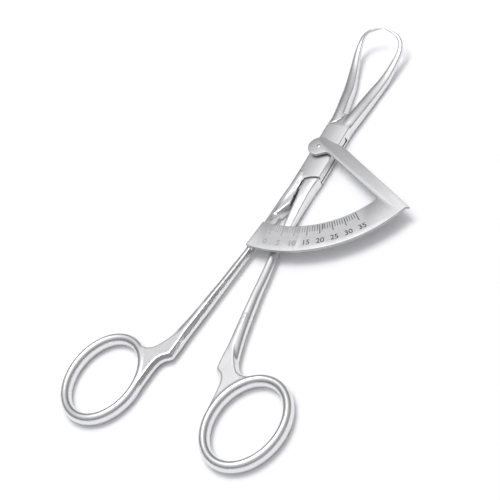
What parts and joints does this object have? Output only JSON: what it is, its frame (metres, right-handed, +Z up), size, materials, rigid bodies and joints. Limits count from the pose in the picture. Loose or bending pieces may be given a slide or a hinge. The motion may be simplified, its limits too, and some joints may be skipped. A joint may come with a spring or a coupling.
{
  "type": "caliper forceps",
  "caption": "Stainless box-lock caliper forceps: two finger rings, bowed needle-point jaws and a flat quadrant plate that reads the jaw opening.",
  "frame": {"origin": "on the joint axis, at the flat face of the box that the instrument lies on", "axes": "+Y from the finger rings to the needle tips, +Z up along the joint axis towards the scale plate, +X towards the side that the plate stands out on"},
  "size_m": [0.0709, 0.1466, 0.0081],
  "materials": {
    "forged_steel": "satin",
    "pin_steel": "satin",
    "plate_steel": "matt, engraved scale"
  },
  "bodies": {
    "fixed": {"fixed_arm": "forged_steel", "joint_pin": "pin_steel", "boss_washer": "pin_steel", "scale_plate": "plate_steel"},
    "moving": {"moving_arm": "forged_steel"}
  },
  "joints": [
    {"name": "box_joint", "type": "hinge", "parent": "fixed", "child": "moving", "pos_m": [0, 0, 0.0021], "axis": [0, 0, 1], "range_deg": [0, 45]}
  ]
}
